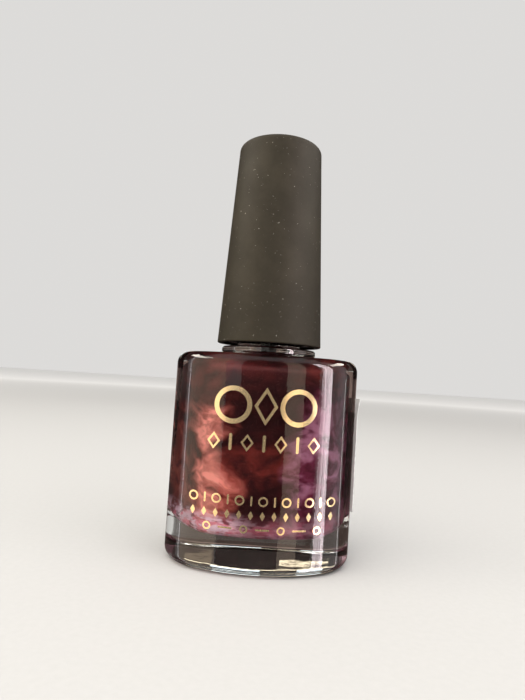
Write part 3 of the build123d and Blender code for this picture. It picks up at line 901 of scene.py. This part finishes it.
def card(name, azimuths, heights, distance, finish, through=False):
    """Curved upright card round the bottle, from one azimuth to another in degrees and
    from one height to another in metres; it shows only in reflections, or also
    through glass."""
    columns = 25
    sweep = np.radians(np.linspace(*azimuths, columns))
    x, y = distance * np.sin(sweep), -distance * np.cos(sweep)
    points = np.stack([np.stack([x, y, 0 * x + z], -1) for z in heights])
    index = np.arange(2 * columns).reshape(2, columns)
    faces = np.stack([index[0, :-1], index[0, 1:], index[1, 1:], index[1, :-1]], -1)
    mesh = bpy.data.meshes.new(name)
    mesh.from_pydata(points.reshape(-1, 3).tolist(), [], faces.tolist())
    panel = bpy.data.objects.new(name, mesh)
    bpy.context.scene.collection.objects.link(panel)
    panel.data.materials.append(finish)
    panel.visible_camera = False
    panel.visible_shadow = False
    panel.visible_diffuse = False
    panel.visible_transmission = through
    panel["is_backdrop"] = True
    return panel


dark_card = dull_finish("dark_card", rgb(58, 49, 46))
black_card = dull_finish("black_card", rgb(34, 30, 29))
dim_card = dull_finish("dim_card", rgb(108, 92, 88))
streak_glow, shader, place = new_finish("streak_glow")
lines = place.shift(size=(1.0, 1.0, 0.02)).noise(55.0, 4.0, 0.6).step(0.36, 0.60)
connect(
    shader,
    Base_Color=(0, 0, 0, 1),
    Emission_Color=lines.blend((0.22, 0.17, 0.18, 1), (1.0, 0.88, 0.92, 1)),
    Emission_Strength=17.0,
)
warm_glow = glow_finish("warm_glow", (1.0, 0.86, 0.62), 2.2)
cool_glow = glow_finish("cool_glow", (1.0, 0.93, 0.97), 1.0)
pale_glow = glow_finish("pale_glow", (1.0, 0.96, 0.96), 5.0)
bright_glow = glow_finish("bright_glow", (1.0, 0.94, 0.84), 12.0)
haze_glow = glow_finish("haze_glow", (1.0, 0.80, 0.62), 1.4)
sill_blue = glow_finish("sill_blue", (0.8, 0.92, 1.0), 1.6)
gold_glow = glow_finish("gold_glow", (1.0, 0.84, 0.60), 1.5)
fill_glow = glow_finish("fill_glow", (1.0, 0.97, 0.93), 8.0)
brown_glow = glow_finish("brown_glow", (1.0, 0.72, 0.45), 0.12)
# behind the bottle, in front of it, and the bright lines and gleams
card("dark_surround", (101, 259), (0.046, 1.3), 0.62, black_card, True)
card("dim_surround", (101, 259), (-0.9, 0.046), 0.62, dim_card, True)
card("dark_front", (-21, 18), (0.02, 1.0), 0.70, dark_card)
card("dark_front_low", (-33, 18), (-0.9, 0.02), 0.70, dark_card)
card("dark_right", (33, 46), (-0.9, 0.9), 0.70, dark_card)
card("heel_shade", (-82, -42), (-0.1, 0.27), 0.66, dark_card, True).visible_glossy = False
card("right_streak", (48.2, 60.5), (-0.9, 0.75), 0.68, streak_glow)
card("right_rim", (75, 93), (-0.16, 0.6), 0.68, cool_glow)
card("right_line", (95.5, 97.5), (-0.9, 0.05), 0.60, pale_glow)
card("left_line", (-93.5, -91.0), (-0.9, 0.5), 0.60, pale_glow)
card("warm_sill", (150, 215), (0.143, 0.153), 0.55, warm_glow, True)
card("gold_sill", (184, 206), (0.163, 0.171), 0.545, gold_glow, True)
card("brown_sill", (149, 166), (0.168, 0.192), 0.545, brown_glow, True)
card("heel_sill", (166, 179), (0.10, 0.142), 0.545, sill_blue, True)
card("heel_sill_right", (189, 200), (0.10, 0.142), 0.545, sill_blue, True)
card("front_fill", (-72, 44), (0.42, 1.15), 0.64, fill_glow, True).visible_glossy = False
card("left_gleam", (-122, -62), (0.46, 0.70), 0.60, bright_glow)
card("right_gleam", (70, 122), (0.46, 0.70), 0.60, bright_glow)
card("left_haze", (-89, -34), (-0.9, 0.9), 0.72, haze_glow)
card("right_haze", (18, 33), (-0.9, 0.9), 0.72, haze_glow)

# a dark sheet on the floor round the foot, seen only through the glass
shade_rise = 0.0004
shade_left = [(-0.35, 0.6), (-0.35, -0.004), (0.004, -0.004)]
shade_right = [(0.012, -0.35), (0.35, -0.35), (0.35, 0.6)]
shade_points = [(x, y, shade_rise) for x, y in shade_left + shade_right]
shade_mesh = bpy.data.meshes.new("floor_shade")
shade_mesh.from_pydata(shade_points, [], [(1, 2, 5, 0), (2, 3, 4, 5)])
floor_shade = bpy.data.objects.new("floor_shade", shade_mesh)
bpy.context.scene.collection.objects.link(floor_shade)
floor_shade.data.materials.append(dark_card)
floor_shade.visible_camera = False
floor_shade.visible_shadow = False
floor_shade.visible_diffuse = False
floor_shade.visible_glossy = False
floor_shade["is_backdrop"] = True

# Camera: hand-held close in front of the bottle, level with its shoulder, rolled a
# few degrees.
camera = bpy.data.cameras.new("camera")
camera.lens = 27.05
camera.sensor_width = 36.0
camera.clip_start = 0.005
eye = bpy.data.objects.new("camera", camera)
roll, yaw, pitch = -0.065, -0.023, 0.055
eye_x, eye_y, eye_z = -0.0038, -0.1098, 0.0362
c, s = math.cos(pitch), math.sin(pitch)
about_x = np.array([[1, 0, 0], [0, c, -s], [0, s, c]])
c, s = math.cos(yaw), math.sin(yaw)
about_y = np.array([[c, 0, s], [0, 1, 0], [-s, 0, c]])
c, s = math.cos(roll), math.sin(roll)
about_z = np.array([[c, -s, 0], [s, c, 0], [0, 0, 1]])
look = about_z @ about_y @ about_x
right, upward, forward = (look[row][[0, 2, 1]] for row in range(3))
eye.matrix_world = mathutils.Matrix(
    [
        [right[0], upward[0], -forward[0], eye_x],
        [right[1], upward[1], -forward[1], eye_y],
        [right[2], upward[2], -forward[2], eye_z],
        [0, 0, 0, 1],
    ]
)
bpy.context.scene.collection.objects.link(eye)
bpy.context.scene.camera = eye
bpy.context.scene.view_settings.view_transform = "Standard"

low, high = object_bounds()
